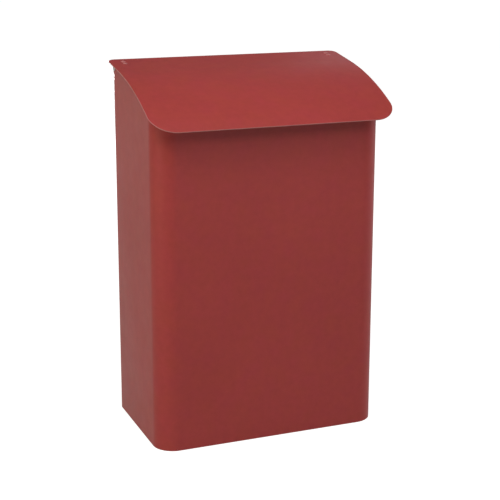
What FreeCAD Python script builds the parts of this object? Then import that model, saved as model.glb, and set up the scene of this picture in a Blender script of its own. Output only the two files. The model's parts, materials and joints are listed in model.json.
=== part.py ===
import FreeCAD, Part
import math
import os

from FreeCAD import Placement, Rotation, Vector

# Wall mounted post box in painted sheet steel, with a rolled lid that lifts at the front.
# Frame: origin at the centre of the wall holes, on the wall. +X is the viewer's right,
# +Y points into the wall, +Z is up. All sizes are in millimetres and degrees.

# Box
body_width = 280.0
body_depth = 158.0
overall_height = 440.0
corner_radius = 25.0
sheet = 1.2
bend_inner = 1.2
return_width = 16.0
hem_depth = 9.0
hem_gap = 0.4
mouth_gap = 6.0
bend_relief = 1.5

# Lid
lid_side_overhang = 8.5
lid_front_overhang = 24.7
lid_setback = 3.4
lid_rear_slope = 9.8
lid_lip_slope = 33.8
lid_flat = 50.0
lid_front_corner = 29.0
lid_rear_corner = 9.0
lid_seat_gap = 0.5

# Pivots and hinge lugs
pivot_inset = 6.0
pivot_drop = 9.5
pivot_radius = 2.0
pivot_running_fit = 0.08
pivot_head_radius = 3.5
pivot_head_height = 1.2
pivot_socket_flats = 2.0
pivot_socket_depth = 0.9
pivot_nut_flats = 7.0
pivot_nut_height = 4.0
pivot_thread_end = 1.0
washer_radius = 4.4
washer_thickness = 0.8
hinge_side_gap = 0.25
lug_sheet = 1.5
lug_bend_inner = 1.0
lug_flange_width = 12.5
lug_ear_radius = 4.2
lug_nose = 4.0
lug_notch_clearance = 1.5
lid_wall_clearance = 1.6

# Rivets that hold the lugs to the lid
lug_rivet_radius = 1.5
lug_rivet_head_radius = 2.8
lug_rivet_head_height = 1.2
lug_rivet_tail_radius = 2.4
lug_rivet_tail_height = 1.0
lug_rivet_first = 11.5
lug_rivet_spacing = 8.0
lug_rivet_bend_distance = 3.3
shank_fit = 0.05

# Back panel, its wall swages and blind rivets
panel_inset = 0.8
panel_top_clearance = 1.5
wall_hole_radius = 3.25
wall_hole_side_distance = 40.0
wall_hole_bottom_distance = 75.0
wall_hole_top_distance = 85.0
swage_height = 36.0
swage_end = 18.0
swage_draft = 5.0
swage_corner = 9.0
back_rivet_radius = 1.6
back_rivet_head_radius = 3.2
back_rivet_head_height = 1.1
back_rivet_tail_radius = 2.3
back_rivet_tail_height = 2.2
back_rivet_end_distance = 45.0

# Floor
floor_flange = 14.0
floor_fit = 0.2
drain_radius = 3.0
drain_inset = 32.0

# Worked-out places
half_width = body_width / 2
rear_slope = math.radians(lid_rear_slope)
lip_slope = math.radians(lid_lip_slope)
wall_hole_x = half_width - wall_hole_side_distance
wall_hole_z = (overall_height - wall_hole_bottom_distance - wall_hole_top_distance) / 2
base_z = -wall_hole_z - wall_hole_bottom_distance
lid_rear_z = base_z + overall_height
floor_z = base_z + floor_flange
bend_outer = bend_inner + sheet

# The pivot, as a station along the lid's flat and a depth below its top surface
pivot_station = (pivot_inset - lid_setback + pivot_drop * math.sin(rear_slope)) / math.cos(rear_slope)
lid_sweep_radius = math.hypot(pivot_station, pivot_drop)
stand_off = lid_sweep_radius - pivot_inset + lid_wall_clearance
back_y = -stand_off
panel_front_y = back_y - sheet
front_y = back_y - body_depth
lid_rear_y = back_y - lid_setback
lid_lip_y = front_y - lid_front_overhang
pivot_y = back_y - pivot_inset
pivot_z = lid_rear_z - pivot_station * math.sin(rear_slope) - pivot_drop * math.cos(rear_slope)

# The lid's roll, from the end of the flat to the lip
roll_run = lid_rear_y - lid_lip_y - lid_flat * math.cos(rear_slope)
roll_radius = roll_run / (math.sin(lip_slope) - math.sin(rear_slope))
lid_length = lid_flat + roll_radius * (lip_slope - rear_slope)
lid_half_width = half_width + lid_side_overhang

# Places across the box, measured from the middle
side_inner_x = half_width - sheet
return_end_x = half_width - return_width
ear_outer_x = side_inner_x - washer_thickness - hinge_side_gap
ear_inner_x = ear_outer_x - lug_sheet
pivot_nut_x = ear_inner_x - hinge_side_gap
lug_rivet_x = ear_inner_x - lug_bend_inner - lug_rivet_bend_distance
lug_inner_x = ear_outer_x - lug_flange_width
back_rivet_x = side_inner_x - (return_width - sheet) / 2
notch_z = pivot_z - lug_ear_radius - lug_notch_clearance
return_top_z = notch_z - bend_relief
lug_front_station = lug_rivet_first + lug_rivet_spacing + lug_rivet_tail_radius + lug_nose
margin = 20.0


def line(a, b):
    """Straight edge between two points."""
    return Part.LineSegment(a, b).toShape()


def arc(a, middle, b):
    """Circular edge through three points."""
    return Part.Arc(a, middle, b).toShape()


def rounded_wire(corners, to_space):
    """Closed wire through (a, b, radius) corners in a plane that to_space puts in space."""
    ends = []
    for i, (a, b, radius) in enumerate(corners):
        here = Vector(a, b, 0)
        before = Vector(*corners[i - 1][:2], 0) - here
        after = Vector(*corners[(i + 1) % len(corners)][:2], 0) - here
        if radius <= 0:
            ends.append((here, None, here))
            continue
        before.normalize()
        after.normalize()
        half = before.getAngle(after) / 2
        bisector = before + after
        bisector.normalize()
        centre = here + bisector * (radius / math.sin(half))
        reach = radius / math.tan(half)
        ends.append((here + before * reach, centre - bisector * radius, here + after * reach))
    edges = []
    for i, (start, middle, end) in enumerate(ends):
        if middle is not None:
            edges.append(arc(to_space(start), to_space(middle), to_space(end)))
        following = ends[(i + 1) % len(ends)][0]
        if (following - end).Length > 1e-6:
            edges.append(line(to_space(end), to_space(following)))
    return Part.Wire(edges)


def plan(p):
    """Plane point (x, y) at z = 0."""
    return Vector(p.x, p.y, 0)


def side_view(p):
    """Plane point (y, z) at x = 0."""
    return Vector(0, p.x, p.y)


def front_view(p):
    """Plane point (x, z) at y = 0."""
    return Vector(p.x, 0, p.y)


def prism(wire, start, along):
    """Solid from a closed flat wire, moved to start and swept by the vector along."""
    face = Part.Face(wire)
    face.translate(start)
    return face.extrude(along)


def box(x0, x1, y0, y1, z0, z1):
    """Block between two corners."""
    return Part.makeBox(x1 - x0, y1 - y0, z1 - z0, Vector(x0, y0, z0))


def mirrored(shape):
    """The same shape on the other side of the box."""
    return shape.mirror(Vector(0, 0, 0), Vector(1, 0, 0))


def lid_angle(station):
    """Slope of the lid, in radians, at a length along its top surface from the rear edge."""
    return rear_slope + max(0.0, station - lid_flat) / roll_radius


def lid_point(station, depth):
    """Point in the lid's side view, at a length along the top and a depth below it."""
    angle = lid_angle(station)
    flat = min(station, lid_flat)
    y = lid_rear_y - flat * math.cos(rear_slope)
    z = lid_rear_z - flat * math.sin(rear_slope)
    y -= roll_radius * (math.sin(angle) - math.sin(rear_slope))
    z -= roll_radius * (math.cos(rear_slope) - math.cos(angle))
    return Vector(0, y + depth * math.sin(angle), z - depth * math.cos(angle))


def lid_frame(station):
    """Placement on the lid's top: local Y runs up the slope to the rear, local Z out of it."""
    return Placement(lid_point(station, 0), Rotation(Vector(1, 0, 0), math.degrees(lid_angle(station))))


def headed_pin(shank_radius, length, head_radius, head_height):
    """Pin along Z: the head stands on its seat at z = 0, the shank goes down from it."""
    head = Part.makeCylinder(head_radius, head_height)
    return head.fuse(Part.makeCylinder(shank_radius, length, Vector(0, 0, -length)))


def rivet(shank_radius, grip, head, tail):
    """Rivet along Z: head and shank as on a pin, then the tail that was formed past the grip."""
    tail_radius, tail_height = tail
    formed = Part.makeCylinder(tail_radius, tail_height, Vector(0, 0, -grip - tail_height))
    return headed_pin(shank_radius, grip, *head).fuse(formed)


def hexagon(flats, low, high):
    """Hexagonal bar along Z between two heights."""
    reach = flats / math.sqrt(3)
    corners = [Rotation(Vector(0, 0, 1), 60 * side).multVec(Vector(reach, 0, 0)) for side in range(7)]
    return prism(Part.makePolygon(corners), Vector(0, 0, low), Vector(0, 0, high - low))


def put_on(shape, place, outward):
    """Fastener put at its seat, with its head along the outward direction."""
    shape.Placement = Placement(place, Rotation(Vector(0, 0, 1), outward))
    return shape


def rear_corner_z(y):
    """Height where the upright plane at y leaves the rounded top corner round the pivot."""
    edge_radius = pivot_drop - sheet - lid_seat_gap
    return pivot_z + math.sqrt(max(0.0, edge_radius**2 - (y - pivot_y) ** 2))


def body_side_profile():
    """Side view of the shell: rear corner round the pivot, edge under the lid, low front."""
    under_lid = sheet + lid_seat_gap
    edge_radius = pivot_drop - under_lid
    rear_top = Vector(0, panel_front_y, rear_corner_z(panel_front_y))
    over_pivot = lid_point(pivot_station, under_lid)
    pivot = Vector(0, pivot_y, pivot_z)
    corner_middle = (rear_top - pivot) + (over_pivot - pivot)
    corner_middle.normalize()
    flat_end = lid_point(lid_flat, under_lid)
    front_top = Vector(0, front_y, front_top_z())
    down = Vector(0, math.sin(rear_slope), -math.cos(rear_slope))
    chord = front_top - flat_end
    radius = chord.Length**2 / (2 * chord.dot(down))
    centre = flat_end + down * radius
    curve_middle = (flat_end - centre) + (front_top - centre)
    curve_middle.normalize()
    return Part.Wire(
        [
            line(Vector(0, panel_front_y, base_z), rear_top),
            arc(rear_top, pivot + corner_middle * edge_radius, over_pivot),
            line(over_pivot, flat_end),
            arc(flat_end, centre + curve_middle * radius, front_top),
            line(front_top, Vector(0, front_y, base_z)),
            line(Vector(0, front_y, base_z), Vector(0, panel_front_y, base_z)),
        ]
    )


def front_top_z():
    """Height of the front wall's top edge, a finger's gap below the lid's underside."""
    roll_centre = lid_point(lid_flat, roll_radius)
    under_radius = roll_radius - sheet
    return roll_centre.z + math.sqrt(under_radius**2 - (front_y - roll_centre.y) ** 2) - mouth_gap


def body_tube(inset, rear_round):
    """Upright tube of the body's plan outline, inset by a distance on every side."""
    x = half_width - inset
    front_round = corner_radius - inset
    corners = [
        (-x, front_y + inset, front_round),
        (x, front_y + inset, front_round),
        (x, panel_front_y - inset, rear_round),
        (-x, panel_front_y - inset, rear_round),
    ]
    height = lid_rear_z - base_z
    return prism(rounded_wire(corners, plan), Vector(0, 0, base_z), Vector(0, 0, height))


def front_hem():
    """Safety hem: the front wall's top edge folded inwards and down, between the corners."""
    top = front_top_z()
    inner_y = front_y + 2 * sheet + hem_gap
    half_x = half_width - corner_radius - bend_relief
    fold_outer = sheet + hem_gap / 2
    leaf = [
        (front_y, top - hem_depth, 0),
        (front_y, top, fold_outer),
        (inner_y, top, fold_outer),
        (inner_y, top - hem_depth, 0),
        (inner_y - sheet, top - hem_depth, 0),
        (inner_y - sheet, top - sheet, hem_gap / 2),
        (front_y + sheet, top - sheet, hem_gap / 2),
        (front_y + sheet, top - hem_depth, 0),
    ]
    trim = box(-half_x, half_x, front_y - 1, front_y + sheet + 0.01, top - hem_depth, top + 1)
    hem = prism(rounded_wire(leaf, side_view), Vector(-half_x, 0, 0), Vector(2 * half_x, 0, 0))
    return trim, hem


def body_shell():
    """Folded shell: two sides and the front in one sheet, open at the back between returns."""
    upright = prism(body_side_profile(), Vector(-half_width - 1, 0, 0), Vector(body_width + 2, 0, 0))
    folded = body_tube(0, bend_outer).cut(body_tube(sheet, bend_inner))
    gap = box(-return_end_x, return_end_x, panel_front_y - bend_outer, 1, base_z - 1, lid_rear_z)
    above_returns = box(-half_width, half_width, panel_front_y - bend_outer, 1, return_top_z, lid_rear_z)
    shell = folded.cut(gap).cut(above_returns)
    tab = box(side_inner_x, half_width, panel_front_y - bend_outer, panel_front_y, notch_z, lid_rear_z)
    shell = shell.fuse([tab, mirrored(tab)]).common(upright)
    pivot_hole = Part.makeCylinder(
        pivot_radius + shank_fit, body_width + 2, Vector(-half_width - 1, pivot_y, pivot_z), Vector(1, 0, 0)
    )
    trim, hem = front_hem()
    shell = shell.cut([pivot_hole, trim]).fuse(hem)
    return shell.cut(back_rivet_holes()).removeSplitter()


def back_rivet_places():
    """Names and seats of the blind rivets on the back panel's rear face."""
    low = base_z + back_rivet_end_distance
    high = return_top_z - back_rivet_end_distance
    heights = {"bottom": low, "top": high}
    sides = {"left": -back_rivet_x, "right": back_rivet_x}
    return {
        f"back_rivet_{side}_{level}": Vector(x, back_y, z)
        for side, x in sides.items()
        for level, z in heights.items()
    }


def back_rivet_holes():
    """Cutters for the blind rivets, through the back panel and the return flanges."""
    length = 2 * sheet + 2
    return [
        Part.makeCylinder(back_rivet_radius + shank_fit, length, seat + Vector(0, 1, 0), Vector(0, -1, 0))
        for seat in back_rivet_places().values()
    ]


def back_rivet(seat):
    """Blind rivet with its head behind the back panel and its bulb inside the box."""
    shape = rivet(
        back_rivet_radius,
        2 * sheet,
        (back_rivet_head_radius, back_rivet_head_height),
        (back_rivet_tail_radius, back_rivet_tail_height),
    )
    return put_on(shape, seat, Vector(0, 1, 0))


def swage_block(z, shrink, near, far):
    """Tapered block of a swage between two planes: near at its root, far at its land."""
    half_x = wall_hole_x + swage_end
    half_z = swage_height / 2
    loops = []
    for y, taper in ((near, 0.0), (far, swage_draft)):
        inset = shrink + taper
        corner = max(swage_corner - inset, swage_corner / 4)
        corners = [
            (-half_x + inset, z - half_z + inset, corner),
            (half_x - inset, z - half_z + inset, corner),
            (half_x - inset, z + half_z - inset, corner),
            (-half_x + inset, z + half_z - inset, corner),
        ]
        loop = rounded_wire(corners, front_view)
        loop.translate(Vector(0, y, 0))
        loops.append(loop)
    return Part.makeLoft(loops, True, True)


def back_panel():
    """Sheet behind the returns: corner notches for the lugs, two pressed swages for the wall."""
    half_x = half_width - panel_inset
    top_z = rear_corner_z(back_y) - panel_top_clearance
    panel = box(-half_x, half_x, panel_front_y, back_y, base_z, top_z)
    notch = box(lug_inner_x - lug_notch_clearance, half_width, panel_front_y - 1, 1, notch_z, lid_rear_z)
    panel = panel.cut([notch, mirrored(notch)] + back_rivet_holes())
    inner_shrink = sheet * math.tan(math.atan2(stand_off, swage_draft) / 2)
    for z in (-wall_hole_z, wall_hole_z):
        panel = panel.fuse(swage_block(z, 0.0, back_y, 0.0))
        panel = panel.cut(swage_block(z, inner_shrink, panel_front_y, -sheet))
        for x in (-wall_hole_x, wall_hole_x):
            hole = Part.makeCylinder(wall_hole_radius, sheet + 2, Vector(x, 1, z), Vector(0, -1, 0))
            panel = panel.cut(hole)
    return panel.removeSplitter()


def floor_flange_strip(length):
    """Downturned flange along X, its outer face on y = 0 and its top on z = 0."""
    corners = [
        (-bend_outer, 0, 0),
        (0, 0, bend_outer),
        (0, -floor_flange, 0),
        (-sheet, -floor_flange, 0),
        (-sheet, -sheet, bend_inner),
        (-bend_outer, -sheet, 0),
    ]
    return prism(rounded_wire(corners, side_view), Vector(-length / 2, 0, 0), Vector(length, 0, 0))


def floor_pan():
    """Floor sheet inside the shell, with four downturned flanges and two drain holes."""
    x = side_inner_x - floor_fit
    front = front_y + sheet + floor_fit
    rear = panel_front_y - sheet - floor_fit
    tongue_rear = panel_front_y - floor_fit
    tongue_x = return_end_x - bend_relief
    front_round = corner_radius - sheet - floor_fit
    rear_round = bend_inner - floor_fit
    corners = [
        (-x, front, front_round),
        (x, front, front_round),
        (x, rear, rear_round),
        (-x, rear, rear_round),
    ]
    plate = prism(rounded_wire(corners, plan), Vector(0, 0, floor_z - sheet), Vector(0, 0, sheet))
    plate = plate.fuse(box(-tongue_x, tongue_x, rear - 1, tongue_rear, floor_z - sheet, floor_z))
    side_length = rear - front - front_round - 4 * bend_outer
    side_middle = (rear - 2 * bend_outer) - side_length / 2
    flanges = [
        (2 * (tongue_x - bend_relief), Vector(0, tongue_rear, floor_z), 0),
        (2 * (x - front_round - 2 * bend_outer), Vector(0, front, floor_z), 180),
        (side_length, Vector(x, side_middle, floor_z), -90),
        (side_length, Vector(-x, side_middle, floor_z), 90),
    ]
    for length, place, turn in flanges:
        spot = Placement(place, Rotation(Vector(0, 0, 1), turn))
        slot = box(-length / 2 - bend_relief, length / 2 + bend_relief, -bend_outer, 1, -sheet - 1, 1)
        slot.Placement = spot
        strip = floor_flange_strip(length)
        strip.Placement = spot
        plate = plate.cut(slot).fuse(strip)
    for hole_x in (drain_inset - x, x - drain_inset):
        drain = Part.makeCylinder(drain_radius, 2 * floor_flange, Vector(hole_x, front + drain_inset, base_z))
        plate = plate.cut(drain)
    return plate.removeSplitter()


def corner_cutter(radius, frame, at_front):
    """What the rounding of a right-hand lid corner takes away, square to the sheet."""
    block = box(-radius, margin, -radius, margin, -margin, margin)
    cutter = block.cut(Part.makeCylinder(radius, 2 * margin, Vector(-radius, -radius, -margin)))
    if at_front:
        cutter = cutter.mirror(Vector(0, 0, 0), Vector(0, 1, 0))
    cutter.Placement = frame.multiply(Placement(Vector(lid_half_width, 0, 0), Rotation()))
    return cutter


def lug_rivet_stations():
    """Names and lengths along the lid of the two rivets in each lug."""
    return {"rear": lug_rivet_first, "front": lug_rivet_first + lug_rivet_spacing}


def lug_rivet_hole(station):
    """Cutter through lid and lug, square to the lid's flat."""
    hole = Part.makeCylinder(
        lug_rivet_radius + shank_fit, sheet + lug_sheet + 2, Vector(lug_rivet_x, 0, -sheet - lug_sheet - 1)
    )
    hole.Placement = lid_frame(station)
    return hole


def lid():
    """Lid sheet: flat at the rear, rolled down to the lip, with rounded corners."""
    rear = (lid_point(0, 0), lid_point(0, sheet))
    bend = (lid_point(lid_flat, 0), lid_point(lid_flat, sheet))
    lip = (lid_point(lid_length, 0), lid_point(lid_length, sheet))
    half_way = (lid_flat + lid_length) / 2
    outline = Part.Wire(
        [
            line(rear[0], bend[0]),
            arc(bend[0], lid_point(half_way, 0), lip[0]),
            line(lip[0], lip[1]),
            arc(lip[1], lid_point(half_way, sheet), bend[1]),
            line(bend[1], rear[1]),
            line(rear[1], rear[0]),
        ]
    )
    shape = prism(outline, Vector(-lid_half_width, 0, 0), Vector(2 * lid_half_width, 0, 0))
    cutters = [
        corner_cutter(lid_rear_corner, lid_frame(0), False),
        corner_cutter(lid_front_corner, lid_frame(lid_length), True),
    ]
    cutters += [lug_rivet_hole(station) for station in lug_rivet_stations().values()]
    cutters += [mirrored(cutter) for cutter in cutters]
    return shape.cut(cutters)


def hinge_lug():
    """Folded bracket on the right: a flange under the lid and an ear on the pivot."""
    flange_depth = sheet + lug_sheet
    ear_depth = pivot_drop + lug_ear_radius
    section = [
        (lug_inner_x, -sheet, 0),
        (ear_outer_x, -sheet, lug_bend_inner + lug_sheet),
        (ear_outer_x, -ear_depth, 0),
        (ear_inner_x, -ear_depth, 0),
        (ear_inner_x, -flange_depth, lug_bend_inner),
        (lug_inner_x, -flange_depth, 0),
    ]
    rear = -pivot_station + lug_ear_radius
    front = -lug_front_station
    shoulder = -flange_depth - lug_bend_inner
    shape = prism(rounded_wire(section, front_view), Vector(0, front, 0), Vector(0, rear - front, 0))
    outline = [
        (rear, 0, 0),
        (rear, -ear_depth, lug_ear_radius),
        (-pivot_station - lug_ear_radius, -ear_depth, lug_ear_radius * 0.95),
        (front, shoulder, lug_ear_radius / 2),
        (front, 0, 0),
    ]
    shape = shape.common(prism(rounded_wire(outline, side_view), Vector(0, 0, 0), Vector(half_width, 0, 0)))
    bore = Part.makeCylinder(
        pivot_radius + pivot_running_fit,
        lug_sheet + 2,
        Vector(ear_inner_x - 1, -pivot_station, -pivot_drop),
        Vector(1, 0, 0),
    )
    shape = shape.cut(bore)
    shape.Placement = lid_frame(0)
    return shape.cut([lug_rivet_hole(station) for station in lug_rivet_stations().values()])


def lug_rivet(station):
    """Solid rivet on the right, head on the lid's top and tail under the lug's flange."""
    shape = rivet(
        lug_rivet_radius,
        sheet + lug_sheet,
        (lug_rivet_head_radius, lug_rivet_head_height),
        (lug_rivet_tail_radius, lug_rivet_tail_height),
    )
    shape.Placement = lid_frame(station).multiply(Placement(Vector(lug_rivet_x, 0, 0), Rotation()))
    return shape


def pivot_screw():
    """Pivot on the right: low head outside the side panel, shank through washer, ear and nut."""
    length = half_width - pivot_nut_x + pivot_nut_height + pivot_thread_end
    shape = headed_pin(pivot_radius, length, pivot_head_radius, pivot_head_height)
    socket = hexagon(pivot_socket_flats, pivot_head_height - pivot_socket_depth, pivot_head_height + 1)
    return put_on(shape.cut(socket), Vector(half_width, pivot_y, pivot_z), Vector(1, 0, 0))


def pivot_nut():
    """Lock nut on the right: run down to a working gap from the lug's ear."""
    shape = hexagon(pivot_nut_flats, -pivot_nut_height, 0)
    bore = Part.makeCylinder(pivot_radius + shank_fit, pivot_nut_height, Vector(0, 0, -pivot_nut_height))
    return put_on(shape.cut(bore), Vector(pivot_nut_x, pivot_y, pivot_z), Vector(1, 0, 0))


def pivot_washer():
    """Nylon washer on the right, between the side panel and the lug's ear."""
    seat = Vector(side_inner_x - washer_thickness, pivot_y, pivot_z)
    across = Vector(1, 0, 0)
    disc = Part.makeCylinder(washer_radius, washer_thickness, seat, across)
    return disc.cut(Part.makeCylinder(pivot_radius + shank_fit, washer_thickness, seat, across))


def all_pieces():
    """Every piece by its node's name."""
    pieces = {
        "body_shell": body_shell(),
        "back_panel": back_panel(),
        "floor_pan": floor_pan(),
        "lid": lid(),
    }
    for name, seat in back_rivet_places().items():
        pieces[name] = back_rivet(seat)
    right = {
        "hinge_lug": hinge_lug(),
        "pivot_screw": pivot_screw(),
        "pivot_washer": pivot_washer(),
        "pivot_nut": pivot_nut(),
    }
    for level, station in lug_rivet_stations().items():
        right[f"lug_rivet_{level}"] = lug_rivet(station)
    for name, shape in right.items():
        pieces[f"{name}_right"] = shape
        pieces[f"{name}_left"] = mirrored(shape)
    return pieces


os.makedirs("parts", exist_ok=True)
for node, solid in all_pieces().items():
    solid.exportStep(f"parts/{node}.step")
print(f"stand-off {stand_off:.3f}, pivot {pivot_y:.3f} {pivot_z:.3f}, roll radius {roll_radius:.2f}")
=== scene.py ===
import json
import math

import bmesh
import bpy
from mathutils import Matrix, Vector

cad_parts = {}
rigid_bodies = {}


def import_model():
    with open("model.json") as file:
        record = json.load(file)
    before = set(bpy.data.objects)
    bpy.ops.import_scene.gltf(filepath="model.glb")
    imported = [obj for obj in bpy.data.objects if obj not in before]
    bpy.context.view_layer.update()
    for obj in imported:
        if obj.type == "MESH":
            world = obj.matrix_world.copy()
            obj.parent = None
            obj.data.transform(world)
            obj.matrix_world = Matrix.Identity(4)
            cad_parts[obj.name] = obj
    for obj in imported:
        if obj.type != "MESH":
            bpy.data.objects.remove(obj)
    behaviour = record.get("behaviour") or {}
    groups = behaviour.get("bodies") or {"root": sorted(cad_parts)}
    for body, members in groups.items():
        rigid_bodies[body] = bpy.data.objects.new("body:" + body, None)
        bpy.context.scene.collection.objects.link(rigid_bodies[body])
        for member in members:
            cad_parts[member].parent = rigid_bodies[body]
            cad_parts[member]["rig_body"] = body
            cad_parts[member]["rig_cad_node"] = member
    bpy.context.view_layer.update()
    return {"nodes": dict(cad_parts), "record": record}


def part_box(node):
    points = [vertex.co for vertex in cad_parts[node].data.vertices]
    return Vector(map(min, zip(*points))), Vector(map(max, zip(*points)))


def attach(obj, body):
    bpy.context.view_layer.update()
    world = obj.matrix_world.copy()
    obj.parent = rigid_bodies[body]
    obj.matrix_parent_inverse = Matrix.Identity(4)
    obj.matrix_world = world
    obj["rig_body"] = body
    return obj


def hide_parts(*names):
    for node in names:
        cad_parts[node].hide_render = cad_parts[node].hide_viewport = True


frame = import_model()

# Sizes are in millimetres and degrees, as in the part's source, and MM makes them metres.
MM = 0.001

# Folded shell: heights are z, and y runs from the wall at 0 to the front
HALF_WIDTH = 140.0
FRONT_Y = -164.019
REAR_Y = -7.219
BASE_Z = -215.0
SHEET = 1.2
FRONT_CORNER = 25.0
FRONT_CORNER_FACETS = 16
BEND = 2.4
BEND_FACETS = 4
RETURN = 16.0
RETURN_TOP = 207.71
NOTCH_Z = 209.21
SLOT_DEPTH = 3.2
SLOT_Y = REAR_Y - SLOT_DEPTH
FRONT_TOP = 172.15
HEM_DEPTH = 9.0
HEM_FOLD = 1.4
HEM_FOLD_Z = FRONT_TOP - HEM_FOLD
HEM_FACETS = 10
HEM_HALF = 112.5
HEM_RELIEF = 1.2
REAR_CORNER = 4.8
REAR_CORNER_FACETS = 6
REAR_CORNER_ABOVE = 214.0

# Block that trims the shell's side panels to the lid's line
TRIM_OVERHANG = 10.0
TRIM_FLAT = 80.0
TRIM_ROLL = 35.4
TRIM_THICKNESS = 80.0
TRIM_MERGE = 0.4

# Rolled lid
LID_HALF = 148.5
LID_REAR_Y = -9.419
LID_REAR_Z = 225.0
LID_SLOPE = 9.8
LID_ROLL = 24.0
LID_FLAT = 50.0
LID_RADIUS = 336.79
LID_SEAT = 1.7
LID_FRONT_CORNER = 29.0
LID_REAR_CORNER = 9.0
LID_FRONT_FACETS = 14
LID_REAR_FACETS = 5
ROLL_FACETS = 40

# Back panel and its pressed swages
PANEL_HALF = 139.2
PANEL_Y = -6.019
PANEL_NOTCH_X = 123.75
HOLE_X = 100.0
HOLE_Z = 140.0
HOLE_RADIUS = 3.25
HOLE_FACETS = 40
SWAGE_HALF_X = 118.0
SWAGE_HALF_Z = 18.0
SWAGE_DRAFT = 5.0
SWAGE_CORNER = 6.0
SWAGE_FACETS = 5
PRESS_RADIUS = 2.0
PRESS_FACETS = 3

# Rounding of cut edges, and the least angle of a hard edge, a pressed fold and a turned piece's edge
EDGE_ROUND = 0.3
FLOOR_EDGE_ROUND = 0.18
BRACKET_EDGE_ROUND = 0.12
EDGE_ANGLE = 40.0
FOLD_ANGLE = 35.0
TURNED_EDGE_ANGLE = 35.0

# Neighbouring faces that are this flat to each other become one
PANEL_FLATNESS = 0.2
COPY_FLATNESS = 0.5

# How far a cutting block reaches past the sheet
PAST = 5.0

# Places of the fasteners
RIVET_X = 131.95
RIVET_STATIONS = {"rear": 11.5, "front": 19.5}
PIVOT = (-12.019, 214.91)
WASHER_X = 138.0
NUT_X = 136.0
BACK_RIVET_X = 131.4
BACK_RIVET_Z = {"bottom": -170.0, "top": 162.71}

# Outlines of the fasteners as (radius, height) points, with the seat at height 0
LUG_RIVET_HEAD = {"radius": 2.8, "height": 1.2, "rim": 0.12}
LUG_RIVET_SHANK = [(2.8, 0), (1.5, 0), (1.5, -2.7)]
LUG_RIVET_TAIL = [(2.3, -2.7), (2.4, -2.85), (2.4, -3.4), (2.1, -3.7), (0, -3.7)]
BACK_RIVET_MANDREL = [(0, 0.3), (0.8, 0.3), (0.8, 1.0)]
BACK_RIVET_HEAD = {"radius": 3.2, "height": 1.1, "rim": 0.15, "inner": 0.95}
BACK_RIVET_SHANK = [(3.2, 0), (1.6, 0), (1.6, -2.4)]
BACK_RIVET_TAIL = [(1.9, -2.5), (2.3, -3.1), (2.2, -4.0), (1.6, -4.6), (0, -4.6)]
PIVOT_CROWN = [(0, 1.2)]
PIVOT_HEAD = {"radius": 3.5, "height": 1.2, "rim": 0.5, "inner": 2.3}
PIVOT_SHANK = [(3.4, 0), (2.0, 0), (2.0, -8.6), (1.6, -9.0), (0, -9.0)]
SOCKET_FLATS = 2.0
SOCKET_HEIGHTS = (0.3, 3.0)
NUT_FLATS = 7.0
NUT_HEIGHTS = (-4.0, 0.0)
NUT_CHAMFER = [(0, 1), (3.1, 1), (4.25, -0.55), (4.25, -2.6), (3.35, -3.15)]
NUT_COLLAR = [(3.2, -3.3), (3.15, -3.8), (2.9, -4.1), (0, -4.1)]
NUT_BORE = [(0, 2), (2.05, 2), (2.05, -5), (0, -5)]
WASHER_RING = [
    (2.1, 0.1), (2.2, 0), (4.25, 0), (4.4, 0.12), (4.4, 0.68),
    (4.25, 0.8), (2.2, 0.8), (2.1, 0.7), (2.1, 0.1),
]
TURN_FACETS = 36
DOME_FACETS = 5

# The nut's tools have facets of their own, so that no two points fall together
CHAMFER_FACETS = 41
BORE_FACETS = 37

# Camera, solved from the photograph's straight edges, in metres
CAMERA_PLACE = Vector((-0.552264, -1.458771, 0.392959))
CAMERA_RIGHT = Vector((0.927066, -0.374893, 0.001990))
CAMERA_UP = Vector((0.088070, 0.222940, 0.970846))
CAMERA_SENSOR = 36.0
CAMERA_LENS = 90.816
CAMERA_SHIFT = -0.05

# What each finish gives its group, with its colour in linear light
COAT_VALUES = {"Colour": (0.40, 0.054, 0.052, 1.0), "Mottle": 1.0, "Peel": 1.0}
# The edges' coat is paler than the coat: a painted highlight for the light that rounded edges, sheet rims and
# rivet heads catch
EDGE_HIGHLIGHT_VALUES = {"Colour": (0.48, 0.17, 0.165, 1.0), "Mottle": 1.5, "Peel": 0.6}
STEEL_VALUES = {"Colour": (0.62, 0.60, 0.58, 1.0), "Dullness": 0.36}
ALUMINIUM_VALUES = {"Colour": (0.70, 0.70, 0.71, 1.0), "Dullness": 0.42}
NYLON_VALUES = {"Colour": (0.76, 0.75, 0.70, 1.0), "Dullness": 0.55}
COAT_GLOSS = 0.225

# Noises of the powder coat, in features per metre, and how far each moves the tone or the sheen
DRIFT = {"scale": 9.0, "detail": 2.0}
DRIFT_TONE = (-0.035, 0.035)
MOTTLE = {"scale": 110.0, "detail": 3.0, "roughness": 0.6}
MOTTLE_TONE = (-0.06, 0.06)
SHEEN = {"scale": 45.0, "detail": 3.0}
SHEEN_ROUGHNESS = (0.32, 0.38)
PEEL = {"scale": 620.0, "detail": 1.5}

# The coat's hue wanders between these two, which multiply its colour
HUE = {"scale": 42.0, "detail": 2.0}
TOWARDS_BRICK = (1.0, 1.05, 0.93, 1.0)
TOWARDS_CRIMSON = (1.0, 0.95, 1.07, 1.0)

# Noises of bare metal and nylon
PATCHES = {"scale": 400.0, "detail": 3.0}
PATCH_TONE = (0.85, 1.08)
RUB = {"scale": 900.0, "detail": 2.0}
RUB_DULLNESS = (-0.06, 0.06)
GRAIN = {"scale": 2500.0, "detail": 2.0}

# Heights of the finishes' relief
COAT_RELIEF = 0.012
STEEL_RELIEF = 0.004
ALUMINIUM_RELIEF = 0.005
NYLON_RELIEF = 0.004


# Modelling by hand

# Turn that stands a plate up, least part of a normal that faces along an axis, and gap of doubled points
STANDING = (-math.pi / 2, 0, 0)
FACING = 0.9
DOUBLED = 0.001


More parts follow.
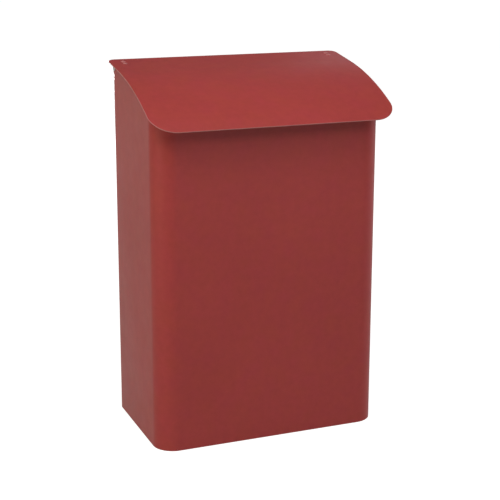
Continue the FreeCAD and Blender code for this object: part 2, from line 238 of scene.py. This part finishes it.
def start(name):
    """Names the primitive that was just added and opens it for editing."""
    piece = bpy.context.object
    piece.name = name
    piece.data.name = name
    bpy.ops.object.transform_apply(location=True, rotation=True, scale=True)
    bpy.ops.object.mode_set(mode="EDIT")
    return piece


def close():
    """Ends editing."""
    bpy.ops.object.mode_set(mode="OBJECT")


def only(piece):
    """Makes the piece the one that operators act on."""
    bpy.ops.object.select_all(action="DESELECT")
    piece.select_set(True)
    bpy.context.view_layer.objects.active = piece


def open_all(piece):
    """Opens a piece for editing with everything selected."""
    only(piece)
    bpy.ops.object.mode_set(mode="EDIT")
    bpy.ops.mesh.select_all(action="SELECT")


def add_plate(name, middle, lengths, rotation=(0, 0, 0)):
    """Flat plate of two lengths round its middle, open for editing."""
    bpy.ops.object.select_all(action="DESELECT")
    bpy.ops.mesh.primitive_plane_add(size=1, rotation=rotation, location=[c * MM for c in middle])
    bpy.context.object.scale = (lengths[0] * MM, lengths[1] * MM, 1)
    return start(name)


def add_block(name, x, y, z):
    """Closed block between two x, two y and two z values."""
    bpy.ops.object.select_all(action="DESELECT")
    middle = [(a[0] + a[1]) / 2 * MM for a in (x, y, z)]
    bpy.ops.mesh.primitive_cube_add(size=1, location=middle)
    bpy.context.object.scale = [(a[1] - a[0]) * MM for a in (x, y, z)]
    block = start(name)
    close()
    return block


def add_bar(name, facets, radius, length, middle, rotation=(0, 0, 0)):
    """Closed round or many-sided bar, along Z unless it is turned."""
    bpy.ops.object.select_all(action="DESELECT")
    bpy.ops.mesh.primitive_cylinder_add(
        vertices=facets, radius=radius * MM, depth=length * MM, rotation=rotation,
        location=[c * MM for c in middle],
    )
    bar = start(name)
    close()
    return bar


def middle_of(item):
    """Middle of a vertex, an edge or a face, in millimetres."""
    points = [item.co] if isinstance(item, bmesh.types.BMVert) else [v.co for v in item.verts]
    return sum(points, Vector()) / len(points) / MM


def span(edge, axis):
    """How far an edge runs along x, y or z, as 0, 1 or 2."""
    ends = [vertex.co[axis] for vertex in edge.verts]
    return (max(ends) - min(ends)) / MM


def pick(kind, test):
    """Selects the vertices, edges or faces whose middle, in millimetres, passes the test."""
    mesh = bmesh.from_edit_mesh(bpy.context.object.data)
    bpy.ops.mesh.select_mode(type=kind)
    bpy.ops.mesh.select_all(action="DESELECT")
    for item in {"VERT": mesh.verts, "EDGE": mesh.edges, "FACE": mesh.faces}[kind]:
        if test(middle_of(item), item):
            item.select_set(True)
    mesh.select_flush_mode()
    bmesh.update_edit_mesh(bpy.context.object.data)


def near(a, b, within=0.02):
    """Whether two lengths are the same but for rounding."""
    return abs(a - b) < within


def extrude(x=0.0, y=0.0, z=0.0):
    """Extrudes what is selected by a step."""
    bpy.ops.mesh.extrude_region_move(TRANSFORM_OT_translate={"value": (x * MM, y * MM, z * MM)})


def round_corners(radius, facets):
    """Rounds the selected corner points of an outline."""
    bpy.ops.mesh.bevel(
        affect="VERTICES", offset=radius * MM, segments=facets, profile=0.5, clamp_overlap=False
    )


def round_edges(radius, facets):
    """Rounds the selected edges."""
    bpy.ops.mesh.bevel(offset=radius * MM, segments=facets, clamp_overlap=False)


def cut_across(place, normal):
    """Cuts the selected faces along a plane."""
    bpy.ops.mesh.bisect(plane_co=[c * MM for c in place], plane_no=normal)


def modify(piece, kind, **settings):
    """Adds a modifier with its settings and applies it."""
    only(piece)
    modifier = piece.modifiers.new(kind.title(), kind)
    for key, value in settings.items():
        setattr(modifier, key, value)
    bpy.ops.object.modifier_apply(modifier=modifier.name)


def carve(piece, tool, operation="DIFFERENCE"):
    """Cuts the piece with a closed tool, then throws the tool away."""
    modify(piece, "BOOLEAN", operation=operation, object=tool, solver="EXACT")
    bpy.data.objects.remove(tool)


def thicken(piece, rim=0):
    """Gives a surface the sheet's thickness, on the side away from its normals."""
    modify(
        piece, "SOLIDIFY", thickness=SHEET * MM, offset=-1.0, use_even_offset=True,
        material_offset_rim=rim,
    )


def soften(piece, width=EDGE_ROUND, facets=3):
    """Rounds every hard edge a little, as paint does, and shades the rest smooth; the rounded edges take the
    second material, the paler coat that paints their highlight.
    """
    only(piece)
    bpy.ops.object.shade_smooth()
    modify(
        piece, "BEVEL", width=width * MM, segments=facets, limit_method="ANGLE",
        angle_limit=math.radians(EDGE_ANGLE), harden_normals=True, use_clamp_overlap=False, material=1,
    )


def merge_close(piece, within):
    """Merges points that lie too close together for the rounding of an edge to pass between them."""
    open_all(piece)
    bpy.ops.mesh.remove_doubles(threshold=within * MM)
    close()


def face_out(piece):
    """Merges doubled points and turns every face outwards."""
    open_all(piece)
    bpy.ops.mesh.remove_doubles(threshold=DOUBLED * MM)
    bpy.ops.mesh.normals_make_consistent(inside=False)
    close()


# Finishes

SURFACE = [
    ("Colour", "NodeSocketColor", None),
    ("Roughness", "NodeSocketFloat", None),
    ("Height", "NodeSocketFloat", None),
]


def new_group(name, inputs, outputs):
    """Shader node group with its sockets, each (name, kind, value); gives it with its two ends."""
    group = bpy.data.node_groups.new(name, "ShaderNodeTree")
    for direction, sockets in (("INPUT", inputs), ("OUTPUT", outputs)):
        for label, kind, value in sockets:
            socket = group.interface.new_socket(name=label, in_out=direction, socket_type=kind)
            if value is not None:
                socket.default_value = value
    return group, group.nodes.new("NodeGroupInput"), group.nodes.new("NodeGroupOutput")


def noise(tree, place, scale, detail, roughness=0.5):
    """Noise texture at a place; its scale is in features per metre."""
    node = tree.nodes.new("ShaderNodeTexNoise")
    node.inputs["Scale"].default_value = scale
    node.inputs["Detail"].default_value = detail
    node.inputs["Roughness"].default_value = roughness
    tree.links.new(place, node.inputs["Vector"])
    return node.outputs["Fac"]


def spread(tree, value, low, high):
    """Maps a noise's middle half, 0.25 to 0.75, onto low to high."""
    node = tree.nodes.new("ShaderNodeMapRange")
    node.inputs["From Min"].default_value = 0.25
    node.inputs["From Max"].default_value = 0.75
    node.inputs["To Min"].default_value = low
    node.inputs["To Max"].default_value = high
    tree.links.new(value, node.inputs["Value"])
    return node.outputs["Result"]


def combine(tree, operation, a, b):
    """Math node on two sockets or numbers."""
    node = tree.nodes.new("ShaderNodeMath")
    node.operation = operation
    for i, value in enumerate((a, b)):
        if isinstance(value, (int, float)):
            node.inputs[i].default_value = value
        else:
            tree.links.new(value, node.inputs[i])
    return node.outputs[0]


def tinted(tree, colour, tint):
    """Colour multiplied by another."""
    node = tree.nodes.new("ShaderNodeVectorMath")
    node.operation = "MULTIPLY"
    tree.links.new(colour, node.inputs[0])
    tree.links.new(tint, node.inputs[1])
    return node.outputs[0]


def shaded(tree, colour, tone):
    """Colour multiplied by a number."""
    node = tree.nodes.new("ShaderNodeVectorMath")
    node.operation = "SCALE"
    tree.links.new(colour, node.inputs[0])
    tree.links.new(tone, node.inputs["Scale"])
    return node.outputs[0]


def between(tree, factor, low, high):
    """Colour between two, by a factor."""
    node = tree.nodes.new("ShaderNodeMix")
    node.data_type = "RGBA"
    tree.links.new(factor, node.inputs["Factor"])
    colours = [socket for socket in node.inputs if socket.type == "RGBA"]
    colours[0].default_value = low
    colours[1].default_value = high
    return next(socket for socket in node.outputs if socket.type == "RGBA")


def coat_group():
    """Powder coat: slow drift of tone and hue, fine mottle, orange peel, and a sheen that varies a little."""
    inputs = [
        ("Colour", "NodeSocketColor", COAT_VALUES["Colour"]),
        ("Mottle", "NodeSocketFloat", COAT_VALUES["Mottle"]),
        ("Peel", "NodeSocketFloat", COAT_VALUES["Peel"]),
    ]
    group, given, end = new_group("powder_coat", inputs, SURFACE)
    place = group.nodes.new("ShaderNodeTexCoord").outputs["Object"]
    drift = spread(group, noise(group, place, **DRIFT), *DRIFT_TONE)
    mottle = spread(group, noise(group, place, **MOTTLE), *MOTTLE_TONE)
    tone = combine(group, "ADD", drift, mottle)
    tone = combine(group, "MULTIPLY", tone, given.outputs["Mottle"])
    tone = combine(group, "ADD", tone, 1.0)
    hue = between(group, spread(group, noise(group, place, **HUE), 0.0, 1.0), TOWARDS_BRICK, TOWARDS_CRIMSON)
    colour = shaded(group, tinted(group, given.outputs["Colour"], hue), tone)
    sheen = spread(group, noise(group, place, **SHEEN), *SHEEN_ROUGHNESS)
    peel = combine(group, "MULTIPLY", noise(group, place, **PEEL), given.outputs["Peel"])
    group.links.new(colour, end.inputs["Colour"])
    group.links.new(sheen, end.inputs["Roughness"])
    group.links.new(peel, end.inputs["Height"])
    return group


def bare_group():
    """Uncoated metal or nylon: fine directionless grain with slightly dulled patches."""
    inputs = [
        ("Colour", "NodeSocketColor", STEEL_VALUES["Colour"]),
        ("Dullness", "NodeSocketFloat", STEEL_VALUES["Dullness"]),
    ]
    group, given, end = new_group("bare_surface", inputs, SURFACE)
    place = group.nodes.new("ShaderNodeTexCoord").outputs["Object"]
    patches = spread(group, noise(group, place, **PATCHES), *PATCH_TONE)
    rub = spread(group, noise(group, place, **RUB), *RUB_DULLNESS)
    dullness = combine(group, "ADD", rub, given.outputs["Dullness"])
    group.links.new(shaded(group, given.outputs["Colour"], patches), end.inputs["Colour"])
    group.links.new(dullness, end.inputs["Roughness"])
    group.links.new(noise(group, place, **GRAIN), end.inputs["Height"])
    return group


def finish_material(name, group, values, relief, **constants):
    """Material whose colour, roughness and bump come from a group; constants are the shader's own."""
    material = bpy.data.materials.new(name)
    material.use_nodes = True
    nodes, links = material.node_tree.nodes, material.node_tree.links
    shader = nodes["Principled BSDF"]
    surface = nodes.new("ShaderNodeGroup")
    surface.node_tree = group
    for key, value in values.items():
        surface.inputs[key].default_value = value
    links.new(surface.outputs["Colour"], shader.inputs["Base Color"])
    links.new(surface.outputs["Roughness"], shader.inputs["Roughness"])
    bump = nodes.new("ShaderNodeBump")
    bump.inputs["Strength"].default_value = 1.0
    bump.inputs["Distance"].default_value = relief * MM
    links.new(surface.outputs["Height"], bump.inputs["Height"])
    links.new(bump.outputs["Normal"], shader.inputs["Normal"])
    for key, value in constants.items():
        shader.inputs[key.replace("_", " ")].default_value = value
    return material


def dress(piece, *materials):
    """Gives a mesh its materials, in place of those it has."""
    piece.data.materials.clear()
    for material in materials:
        piece.data.materials.append(material)


def stand_in(piece, body, slot, *nodes):
    """A new piece rides on a body and stands for CAD nodes, which it hides; its slot is not used."""
    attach(piece, body)
    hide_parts(*nodes)


coat = coat_group()
bare = bare_group()
COAT = finish_material("red_powder_coat", coat, COAT_VALUES, COAT_RELIEF, Specular_IOR_Level=COAT_GLOSS)
# Paler coat on rounded edges, sheet rims and lug rivet heads: a painted highlight where they catch the light
EDGE = finish_material("red_coat_painted_highlight", coat, EDGE_HIGHLIGHT_VALUES, COAT_RELIEF, Specular_IOR_Level=COAT_GLOSS)
STEEL = finish_material("bare_steel", bare, STEEL_VALUES, STEEL_RELIEF, Metallic=1.0)
ALUMINIUM = finish_material("bare_aluminium", bare, ALUMINIUM_VALUES, ALUMINIUM_RELIEF, Metallic=1.0)
NYLON = finish_material("natural_nylon", bare, NYLON_VALUES, NYLON_RELIEF)
FINISHES = {"red_paint": COAT, "bare_steel": STEEL, "bare_aluminium": ALUMINIUM, "nylon": NYLON}


# Lid

def lid_place(station, depth):
    """Side-view point (y, z) on the lid's flat, at a length from its rear edge and a depth below its top."""
    slope = math.radians(LID_SLOPE)
    y = LID_REAR_Y - station * math.cos(slope) + depth * math.sin(slope)
    z = LID_REAR_Z - station * math.sin(slope) - depth * math.cos(slope)
    return y, z


def roll_up(name, half_width, flat, radius, roll, flat_end, rounded):
    """Top surface of a sheet that runs flat to flat_end and then rolls down, with rounded corners or not."""
    length = radius * math.radians(roll)
    sheet = add_plate(name, (0, 0, (length - flat) / 2), (2 * half_width, length + flat), STANDING)
    if rounded:
        pick("VERT", lambda p, v: p.z < 0)
        round_corners(LID_REAR_CORNER, LID_REAR_FACETS)
        pick("VERT", lambda p, v: p.z > flat)
        round_corners(LID_FRONT_CORNER, LID_FRONT_FACETS)
    for facet in range(ROLL_FACETS):
        bpy.ops.mesh.select_all(action="SELECT")
        cut_across((0, 0, length * facet / ROLL_FACETS), (0, 0, 1))
    close()
    modify(
        sheet, "SIMPLE_DEFORM", deform_method="BEND", deform_axis="X", angle=math.radians(-roll),
        limits=(flat / (flat + length), 1.0),
    )
    sheet.rotation_euler = (math.radians(90 + LID_SLOPE), 0, 0)
    sheet.location = (0, flat_end[0] * MM, flat_end[1] * MM)
    only(sheet)
    bpy.ops.object.transform_apply(location=True, rotation=True, scale=True)
    return sheet


def make_lid():
    """Rolled lid: its top surface, thickened downwards."""
    flat_end = lid_place(LID_FLAT, 0)
    lid = roll_up("rolled_lid", LID_HALF, LID_FLAT, LID_RADIUS, LID_ROLL, flat_end, rounded=True)
    dress(lid, COAT, EDGE)
    # The lid's rim faces take the second material, the paler coat that paints their highlight
    thicken(lid, rim=1)
    soften(lid)
    return lid


# Shell

def under_lid_tool():
    """Closed block whose underside is the line of the shell's top edges."""
    end = lid_place(LID_FLAT, LID_SEAT)
    slope = math.radians(LID_SLOPE)
    run, drop = FRONT_Y - end[0], FRONT_TOP - end[1]
    down = (math.sin(slope), -math.cos(slope))
    radius = (run * run + drop * drop) / (2 * (run * down[0] + drop * down[1]))
    half_width = HALF_WIDTH + TRIM_OVERHANG
    tool = roll_up("under_lid_tool", half_width, TRIM_FLAT, radius, TRIM_ROLL, end, rounded=False)
    modify(tool, "SOLIDIFY", thickness=TRIM_THICKNESS * MM, offset=1.0)
    face_out(tool)
    return tool


def bend_walls():
    """Front, sides and returns of the shell as one surface, up to the lid's rear edge."""
    walls = add_plate(
        "folded_shell", (0, (FRONT_Y + REAR_Y) / 2, BASE_Z), (2 * HALF_WIDTH, REAR_Y - FRONT_Y)
    )
    bpy.ops.mesh.delete(type="ONLY_FACE")
    pick("EDGE", lambda p, e: near(p.y, REAR_Y))
    bpy.ops.mesh.delete(type="EDGE")
    for side in (-1, 1):
        pick("VERT", lambda p, v: near(p.y, REAR_Y) and near(p.x, side * HALF_WIDTH))
        extrude(x=-side * RETURN)
    pick("VERT", lambda p, v: near(p.y, FRONT_Y))
    round_corners(FRONT_CORNER, FRONT_CORNER_FACETS)
    pick("VERT", lambda p, v: near(p.y, REAR_Y) and near(abs(p.x), HALF_WIDTH))
    round_corners(BEND, BEND_FACETS)
    bpy.ops.mesh.select_all(action="SELECT")
    extrude(z=LID_REAR_Z - BASE_Z)
    bpy.ops.mesh.select_all(action="SELECT")
    bpy.ops.mesh.normals_make_consistent(inside=False)
    mesh = bmesh.from_edit_mesh(walls.data)
    front = next(f for f in mesh.faces if near(middle_of(f).y, FRONT_Y))
    if front.normal.y > 0:
        bpy.ops.mesh.flip_normals()
    close()
    return walls


def cut_shell(shell):
    """Cuts the rear away above the returns, and the front's top edge down to the hem's fold."""
    reach = HALF_WIDTH + PAST
    tool = add_block("return_tool", (-reach, reach), (SLOT_Y, PAST), (RETURN_TOP, LID_REAR_Z + PAST))
    carve(shell, tool)
    reach = HEM_HALF + HEM_RELIEF
    tool = add_block("hem_tool", (-reach, reach), (FRONT_Y - PAST, FRONT_Y + PAST), (HEM_FOLD_Z, LID_REAR_Z))
    carve(shell, tool)


def bring_corners_back():
    """Brings the open shell's side panels back to their rear edge above the hinge slots."""
    pick("FACE", lambda p, f: f.normal.y > FACING and near(p.y, SLOT_Y) and p.z > RETURN_TOP)
    cut_across((0, 0, NOTCH_Z), (0, 0, 1))
    pick("FACE", lambda p, f: f.normal.y > FACING and near(p.y, SLOT_Y) and p.z > NOTCH_Z)
    extrude(y=SLOT_DEPTH)


def fold_hem():
    """Folds a strip of the open shell's front edge inwards and down, between two reliefs."""
    for x in (-HEM_HALF, HEM_HALF):
        pick("FACE", lambda p, f: f.normal.z > FACING and near(p.z, HEM_FOLD_Z) and abs(p.x) < HEM_HALF)
        cut_across((x, 0, 0), (1, 0, 0))
    pick("FACE", lambda p, f: f.normal.z > FACING and near(p.z, HEM_FOLD_Z) and near(p.x, 0))
    centre = (0, (FRONT_Y + HEM_FOLD) * MM, HEM_FOLD_Z * MM)
    bpy.ops.mesh.spin(steps=HEM_FACETS, angle=math.pi, center=centre, axis=(1, 0, 0))
    extrude(z=-(HEM_DEPTH - HEM_FOLD))


def make_shell():
    """Folded shell: bent walls, trimmed under the lid, cut, hemmed, and rounded round the pivots."""
    shell = bend_walls()
    dress(shell, COAT, EDGE)
    thicken(shell)
    carve(shell, under_lid_tool())
    merge_close(shell, TRIM_MERGE)
    cut_shell(shell)
    only(shell)
    bpy.ops.object.mode_set(mode="EDIT")
    bring_corners_back()
    fold_hem()
    pick("EDGE", lambda p, e: near(p.y, REAR_Y) and p.z > REAR_CORNER_ABOVE and span(e, 0) > 1)
    round_edges(REAR_CORNER, REAR_CORNER_FACETS)
    close()
    face_out(shell)
    soften(shell)
    return shell


# Back panel

def press_swages():
    """Presses two swages out of the open panel, back to the wall."""
    pick("FACE", lambda p, f: abs(p.x) < SWAGE_HALF_X and abs(abs(p.z) - HOLE_Z) < SWAGE_HALF_Z)
    bpy.ops.mesh.inset(thickness=SWAGE_DRAFT * MM, depth=-PANEL_Y * MM)
    pick("EDGE", lambda p, e: span(e, 1) > 1)
    round_edges(SWAGE_CORNER, SWAGE_FACETS)
    pick("EDGE", lambda p, e: e.calc_face_angle(0.0) > math.radians(FOLD_ANGLE))
    round_edges(PRESS_RADIUS, PRESS_FACETS)
    bpy.ops.mesh.select_all(action="SELECT")
    bpy.ops.mesh.dissolve_limited(angle_limit=math.radians(PANEL_FLATNESS))


def make_back_panel():
    """Flat sheet with two swages, a notch for each hinge and four wall holes."""
    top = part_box("back_panel")[1].z / MM
    panel = add_plate(
        "pressed_back_panel", (0, PANEL_Y, (BASE_Z + top) / 2), (2 * PANEL_HALF, top - BASE_Z), STANDING
    )
    for x in (-PANEL_NOTCH_X, PANEL_NOTCH_X, -SWAGE_HALF_X, SWAGE_HALF_X):
        bpy.ops.mesh.select_all(action="SELECT")
        cut_across((x, 0, 0), (1, 0, 0))
    swage_ends = [z + half for z in (HOLE_Z, -HOLE_Z) for half in (SWAGE_HALF_Z, -SWAGE_HALF_Z)]
    for z in [NOTCH_Z] + swage_ends:
        bpy.ops.mesh.select_all(action="SELECT")
        cut_across((0, 0, z), (0, 0, 1))
    pick("FACE", lambda p, f: abs(p.x) > PANEL_NOTCH_X and p.z > NOTCH_Z)
    bpy.ops.mesh.delete(type="FACE")
    press_swages()
    close()
    dress(panel, COAT, EDGE)
    thicken(panel)
    for x in (-HOLE_X, HOLE_X):
        for z in (-HOLE_Z, HOLE_Z):
            middle = (x, -SHEET / 2, z)
            tool = add_bar("hole_tool", HOLE_FACETS, HOLE_RADIUS, 2 * PAST, middle, (math.pi / 2, 0, 0))
            carve(panel, tool)
    face_out(panel)
    soften(panel)
    return panel


# Floor pan and hinge brackets

def sheet_copy(node, name, edge):
    """Copy of a folded sheet's CAD node, merged, with its cut edges rounded."""
    piece = frame["nodes"][node].copy()
    piece.data = piece.data.copy()
    piece.name = piece.data.name = name
    bpy.context.scene.collection.objects.link(piece)
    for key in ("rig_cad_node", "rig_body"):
        if key in piece:
            del piece[key]
    dress(piece, COAT, EDGE)
    face_out(piece)
    open_all(piece)
    bpy.ops.mesh.dissolve_limited(angle_limit=math.radians(COPY_FLATNESS))
    close()
    soften(piece, width=edge, facets=2)
    return piece


# Fasteners

def turn(name, outline, facets=TURN_FACETS):
    """Draws (radius, height) points one after the other, and spins them round Z."""
    piece = add_plate(name, (0, 0, 0), (1, 1))
    bpy.ops.mesh.select_mode(type="VERT")
    bpy.ops.mesh.select_all(action="SELECT")
    bpy.ops.mesh.merge(type="CENTER")
    bpy.ops.transform.translate(value=(outline[0][0] * MM, 0, outline[0][1] * MM))
    for before, after in zip(outline, outline[1:]):
        extrude(x=after[0] - before[0], z=after[1] - before[1])
    bpy.ops.mesh.select_all(action="SELECT")
    bpy.ops.mesh.spin(steps=facets, angle=2 * math.pi, center=(0, 0, 0), axis=(0, 0, 1))
    close()
    face_out(piece)
    return piece


def dome(radius, height, rim, inner=0.0):
    """Outline over a domed head, from its middle or an inner radius out to its rim."""
    cap = height - rim
    reach = radius - inner
    ball = (reach * reach + cap * cap) / (2 * cap)
    points = []
    for facet in range(DOME_FACETS + 1):
        out = reach * facet / DOME_FACETS
        points.append((inner + out, height - ball + math.sqrt(ball * ball - out * out)))
    return points


def put(piece, place, outward, material):
    """Stands a turned piece on its seat with its head outwards, shades it and gives it its finish."""
    piece.rotation_mode = "QUATERNION"
    piece.rotation_quaternion = Vector(outward).to_track_quat("Z", "Y")
    piece.location = Vector(place) * MM
    only(piece)
    bpy.ops.object.transform_apply(location=True, rotation=True, scale=True)
    bpy.ops.object.shade_smooth_by_angle(angle=math.radians(TURNED_EDGE_ANGLE))
    dress(piece, material)
    return piece


def make_lug_rivet(name):
    """Solid rivet with a low domed head."""
    return turn(name, dome(**LUG_RIVET_HEAD) + LUG_RIVET_SHANK + LUG_RIVET_TAIL)


def make_back_rivet(name):
    """Blind rivet, with its broken mandrel in the head and its spread tail behind the sheets."""
    return turn(name, BACK_RIVET_MANDREL + dome(**BACK_RIVET_HEAD) + BACK_RIVET_SHANK + BACK_RIVET_TAIL)


def hexagon_bar(name, flats, heights):
    """Six-sided bar along Z between two heights."""
    low, high = heights
    return add_bar(name, 6, flats / math.sqrt(3), high - low, (0, 0, (high + low) / 2))


def make_pivot_screw(name):
    """Low-headed screw with a hexagon socket."""
    screw = turn(name, PIVOT_CROWN + dome(**PIVOT_HEAD) + PIVOT_SHANK)
    carve(screw, hexagon_bar("socket_tool", SOCKET_FLATS, SOCKET_HEIGHTS))
    return screw


def make_pivot_nut(name):
    """Lock nut: chamfered hexagon with a round collar, bored for the screw."""
    nut = hexagon_bar(name, NUT_FLATS, NUT_HEIGHTS)
    carve(nut, turn("chamfer_tool", NUT_CHAMFER + NUT_COLLAR, CHAMFER_FACETS), "INTERSECT")
    carve(nut, turn("bore_tool", NUT_BORE, BORE_FACETS))
    return nut


def make_washer(name):
    """Flat washer with eased edges."""
    return turn(name, WASHER_RING)


def make_fasteners(side, sign):
    """One side's rivets, screw, nut and washer, each in the place of its CAD node."""
    slope = math.radians(LID_SLOPE)
    lid_normal = (0, -math.sin(slope), math.cos(slope))
    across = (sign, 0, 0)
    for level, station in RIVET_STATIONS.items():
        node = f"lug_rivet_{level}_{side}"
        place = (sign * RIVET_X, *lid_place(station, 0))
        # The lug rivets' heads take the paler edge coat: a painted highlight on their domes
        rivet = put(make_lug_rivet("domed_" + node), place, lid_normal, EDGE)
        stand_in(rivet, "lid", "red_paint", node)
    for level, z in BACK_RIVET_Z.items():
        node = f"back_rivet_{side}_{level}"
        place = (sign * BACK_RIVET_X, PANEL_Y, z)
        rivet = put(make_back_rivet("blind_" + node), place, (0, 1, 0), ALUMINIUM)
        stand_in(rivet, "box", "bare_aluminium", node)
    screw = put(make_pivot_screw("button_pivot_screw_" + side), (sign * HALF_WIDTH, *PIVOT), across, STEEL)
    stand_in(screw, "box", "bare_steel", "pivot_screw_" + side)
    nut = put(make_pivot_nut("lock_nut_" + side), (sign * NUT_X, *PIVOT), across, STEEL)
    stand_in(nut, "box", "bare_steel", "pivot_nut_" + side)
    washer = put(make_washer("nylon_washer_" + side), (sign * WASHER_X, *PIVOT), across, NYLON)
    stand_in(washer, "box", "nylon", "pivot_washer_" + side)


# Studio, in metres

PLAIN = (1.0, 1.0, 1.0)
WARM = (1.0, 1.0, 0.82)
ROSY = (1.0, 0.9, 1.0)

# Soft square lamps: bearing from the front (left is negative) and height in degrees,
# distance and width, power in watts, and colour
LAMPS = {
    "left": (-75, 15, 2.2, 0.8, 12.0, WARM),
    "left_high": (-50, 52, 2.2, 0.8, 11.0, WARM),
    "left_rear": (-110, 25, 2.2, 0.8, 5.2, WARM),
    "right": (90, 15, 2.2, 0.8, 15.6, PLAIN),
    "front": (0, 36, 2.2, 0.8, 7.6, PLAIN),
    "front_right": (30, 36, 2.2, 0.8, 3.4, PLAIN),
    "front_low": (20, 5, 2.2, 0.8, 2.2, PLAIN),
    "above_near": (0, 70, 0.9, 0.5, 1.65, PLAIN),
    "back_left": (-150, 5, 2.2, 0.8, 1.0, WARM),
    "back_right": (140, 25, 2.2, 0.8, 0.9, ROSY),
    "back": (180, 0, 2.2, 0.24, 8.0, PLAIN),
}
LAMP_AIM = Vector((0, -0.08, 0))
AMBIENT = 0.03

# How much of the white surroundings shows in reflections, above the ambient light
WORLD_GLOSS = 0.08
FLOOR_GLOSS = 0.2

# The floor lies just under the box, and glows less near it, so that the box's shadow stays
WHITE = (1.0, 1.0, 1.0, 1.0)
FLOOR_SIZE = 40.0
FLOOR_DROP = 0.0005
FLOOR_COLOUR = (0.5, 0.5, 0.5, 1.0)
FLOOR_ROUGHNESS = 0.9
FLOOR_FADE = {"From Min": 0.2, "From Max": 1.6, "To Min": 0.84, "To Max": 1.0}


def add_camera():
    """Camera where the photograph was taken from."""
    camera = bpy.data.objects.new("photo_camera", bpy.data.cameras.new("photo_camera"))
    bpy.context.scene.collection.objects.link(camera)
    axes = Matrix((CAMERA_RIGHT, CAMERA_UP, CAMERA_RIGHT.cross(CAMERA_UP))).transposed()
    camera.matrix_world = Matrix.Translation(CAMERA_PLACE) @ axes.to_4x4()
    camera.data.sensor_width = CAMERA_SENSOR
    camera.data.lens = CAMERA_LENS
    camera.data.shift_y = CAMERA_SHIFT
    bpy.context.scene.camera = camera


def add_lamps():
    """Soft lamps round the box, aimed at it and unseen by the camera."""
    for name, (bearing, height, distance, width, power, colour) in LAMPS.items():
        a, e = math.radians(bearing), math.radians(height)
        away = Vector((math.sin(a) * math.cos(e), -math.cos(a) * math.cos(e), math.sin(e)))
        lamp = bpy.data.lights.new(name, "AREA")
        lamp.size = width
        lamp.energy = power
        lamp.color = colour
        holder = bpy.data.objects.new(name, lamp)
        bpy.context.scene.collection.objects.link(holder)
        holder.location = LAMP_AIM + away * distance
        holder.rotation_mode = "QUATERNION"
        holder.rotation_quaternion = (-away).to_track_quat("-Z", "Y")
        holder.visible_camera = False


def looked_at(tree, gloss):
    """1 for what the camera sees, also through glass, and gloss for what shows in a reflection."""
    path = tree.nodes.new("ShaderNodeLightPath").outputs
    direct = combine(tree, "ADD", path["Is Camera Ray"], path["Is Transmission Ray"])
    return combine(tree, "ADD", direct, combine(tree, "MULTIPLY", path["Is Glossy Ray"], gloss))


def add_world():
    """Dim ambient light on the object, and white to the camera."""
    world = bpy.data.worlds.new("pale_studio")
    bpy.context.scene.world = world
    world.use_nodes = True
    nodes, links = world.node_tree.nodes, world.node_tree.links
    soft = nodes["Background"]
    soft.inputs["Color"].default_value = WHITE
    soft.inputs["Strength"].default_value = AMBIENT
    white = nodes.new("ShaderNodeBackground")
    white.inputs["Color"].default_value = WHITE
    mix = nodes.new("ShaderNodeMixShader")
    links.new(looked_at(world.node_tree, WORLD_GLOSS), mix.inputs["Fac"])
    links.new(soft.outputs[0], mix.inputs[1])
    links.new(white.outputs[0], mix.inputs[2])
    links.new(mix.outputs[0], nodes["World Output"].inputs["Surface"])


def add_floor():
    """Pale floor under the box that keeps its shadow, and fades to white further out."""
    bpy.ops.object.select_all(action="DESELECT")
    bpy.ops.mesh.primitive_plane_add(size=FLOOR_SIZE, location=(0, 0, BASE_Z * MM - FLOOR_DROP))
    floor = bpy.context.object
    floor.name = "studio_floor"
    material = bpy.data.materials.new("pale_floor")
    material.use_nodes = True
    tree = material.node_tree
    shader = tree.nodes["Principled BSDF"]
    shader.inputs["Base Color"].default_value = FLOOR_COLOUR
    shader.inputs["Roughness"].default_value = FLOOR_ROUGHNESS
    shader.inputs["Emission Color"].default_value = WHITE
    reach = tree.nodes.new("ShaderNodeVectorMath")
    reach.operation = "LENGTH"
    tree.links.new(tree.nodes.new("ShaderNodeTexCoord").outputs["Object"], reach.inputs[0])
    fade = tree.nodes.new("ShaderNodeMapRange")
    fade.interpolation_type = "SMOOTHSTEP"
    for key, value in FLOOR_FADE.items():
        fade.inputs[key].default_value = value
    tree.links.new(reach.outputs["Value"], fade.inputs["Value"])
    glow = combine(tree, "MULTIPLY", looked_at(tree, FLOOR_GLOSS), fade.outputs["Result"])
    tree.links.new(glow, shader.inputs["Emission Strength"])
    dress(floor, material)


bpy.context.scene.view_settings.view_transform = "Standard"
add_camera()
add_world()
add_lamps()
add_floor()

# The CAD nodes get their slots' finishes too, although a piece below stands in for each of them
for part in frame["record"]["subparts"]:
    dress(frame["nodes"][part["node"]], FINISHES[part["material_slot"]])

stand_in(make_lid(), "lid", "red_paint", "lid")
stand_in(make_shell(), "box", "red_paint", "body_shell")
stand_in(make_back_panel(), "box", "red_paint", "back_panel")
stand_in(sheet_copy("floor_pan", "folded_floor", FLOOR_EDGE_ROUND), "box", "red_paint", "floor_pan")
for side in ("left", "right"):
    bracket = sheet_copy("hinge_lug_" + side, "hinge_bracket_" + side, BRACKET_EDGE_ROUND)
    stand_in(bracket, "lid", "red_paint", "hinge_lug_" + side)
for side, sign in (("left", -1), ("right", 1)):
    make_fasteners(side, sign)
